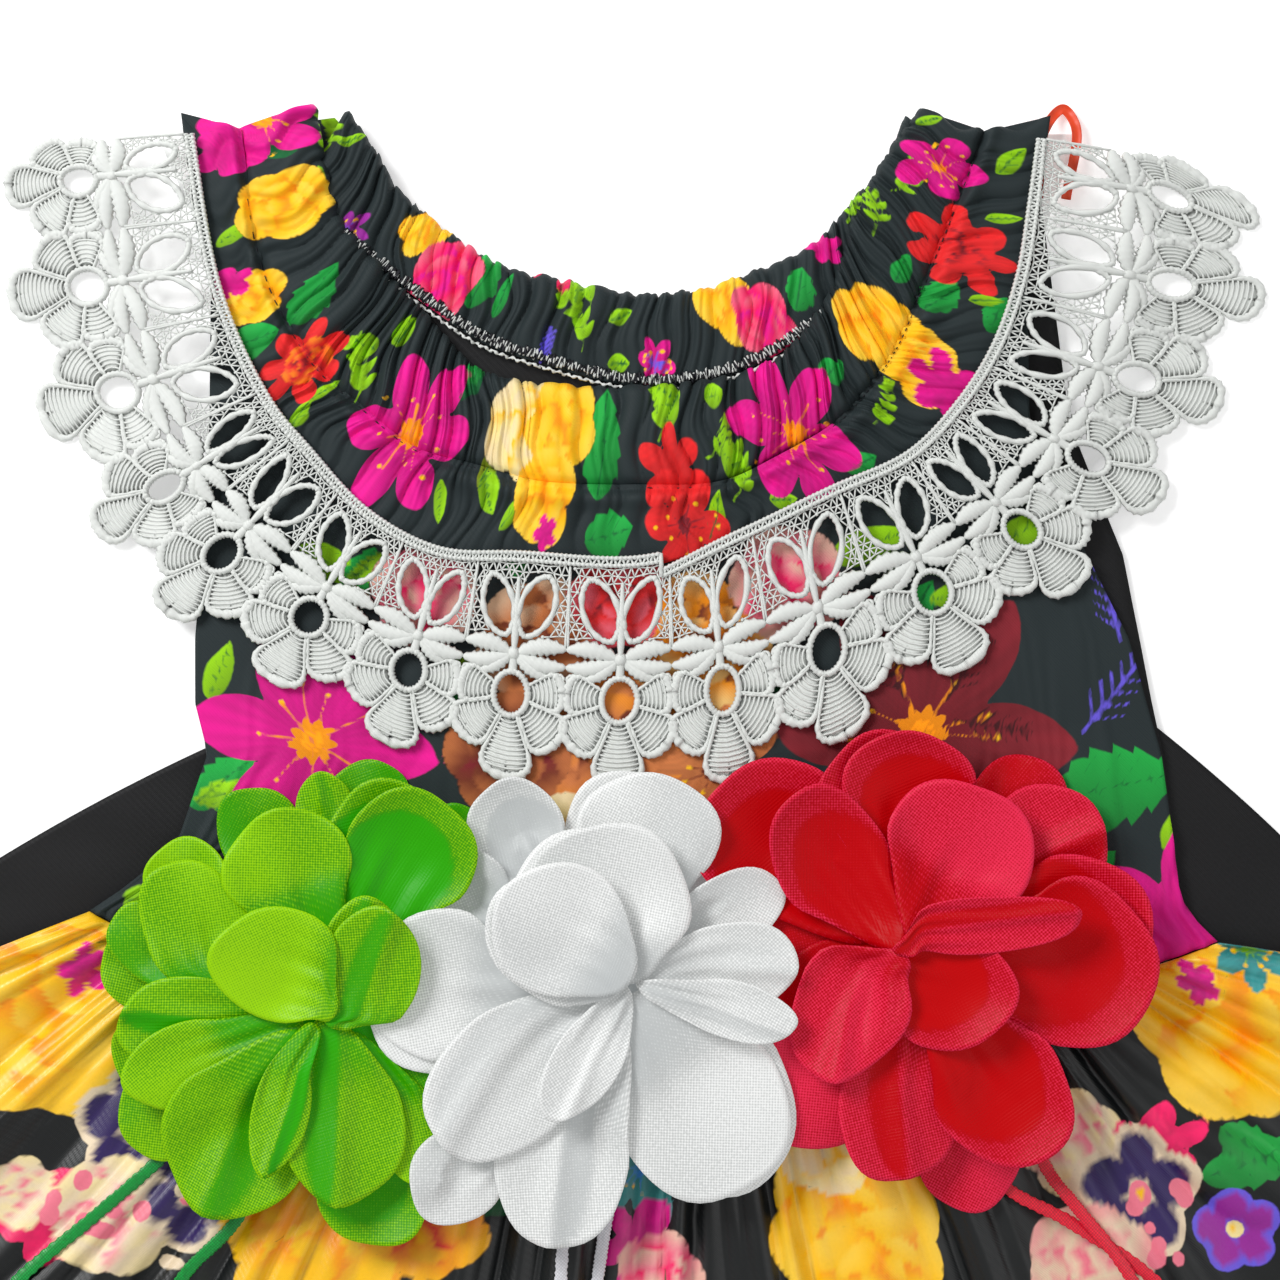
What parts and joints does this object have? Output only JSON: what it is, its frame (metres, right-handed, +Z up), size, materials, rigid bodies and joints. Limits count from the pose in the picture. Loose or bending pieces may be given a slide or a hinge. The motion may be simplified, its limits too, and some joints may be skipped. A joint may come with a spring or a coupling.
{
  "type": "folklorico dress",
  "caption": "Child's folk dress laid flat: gathered neck ruffle edged with wide guipure lace, printed bodice, full gathered skirt, sash ties and satin flowers with ribbon tails.",
  "frame": {"origin": "under the middle of the dress's outline, on the surface it lies on", "axes": "+X to the viewer's right across the skirt, +Y towards the neck, +Z up off the surface"},
  "size_m": [0.762, 0.4982, 0.0334],
  "materials": {
    "printed_knit": "charcoal jersey with a bright flower print, slight sheen",
    "printed_satin": "black satin-faced cloth with a bright flower print",
    "black_cloth": "plain matt black",
    "lace": "white guipure lace, matt cotton thread",
    "green_satin": "lime satin with a visible weave",
    "white_satin": "white satin with a visible weave",
    "red_satin": "crimson satin with a visible weave",
    "green_ribbon": "glossy satin ribbon",
    "white_ribbon": "glossy satin ribbon",
    "red_ribbon": "glossy satin ribbon",
    "orange_ribbon": "satin ribbon"
  },
  "bodies": {
    "root": {"back_bodice": "black_cloth", "back_skirt": "black_cloth", "sash_tie_left": "black_cloth", "sash_tie_right": "black_cloth", "front_bodice": "printed_knit", "ruffle_front": "printed_knit", "ruffle_back": "printed_knit", "neck_casing_front": "printed_knit", "neck_casing_back": "printed_knit", "front_skirt": "printed_satin", "lace_front": "lace", "lace_back": "lace", "hanger_loop": "orange_ribbon", "green_petal_1": "green_satin", "green_petal_2": "green_satin", "green_petal_3": "green_satin", "green_petal_4": "green_satin", "green_petal_5": "green_satin", "green_petal_6": "green_satin", "green_petal_7": "green_satin", "green_petal_8": "green_satin", "green_petal_9": "green_satin", "green_petal_10": "green_satin", "green_petal_11": "green_satin", "green_petal_12": "green_satin", "green_petal_13": "green_satin", "green_petal_14": "green_satin", "green_petal_15": "green_satin", "green_petal_16": "green_satin", "ribbon_green_1": "green_ribbon", "ribbon_green_2": "green_ribbon", "white_petal_1": "white_satin", "white_petal_2": "white_satin", "white_petal_3": "white_satin", "white_petal_4": "white_satin", "white_petal_5": "white_satin", "white_petal_6": "white_satin", "white_petal_7": "white_satin", "white_petal_8": "white_satin", "white_petal_9": "white_satin", "white_petal_10": "white_satin", "white_petal_11": "white_satin", "white_petal_12": "white_satin", "ribbon_white_1": "white_ribbon", "ribbon_white_2": "white_ribbon", "red_petal_1": "red_satin", "red_petal_2": "red_satin", "red_petal_3": "red_satin", "red_petal_4": "red_satin", "red_petal_5": "red_satin", "red_petal_6": "red_satin", "red_petal_7": "red_satin", "red_petal_8": "red_satin", "red_petal_9": "red_satin", "red_petal_10": "red_satin", "red_petal_11": "red_satin", "red_petal_12": "red_satin", "ribbon_red_1": "red_ribbon", "ribbon_red_2": "red_ribbon"}
  },
  "joints": []
}
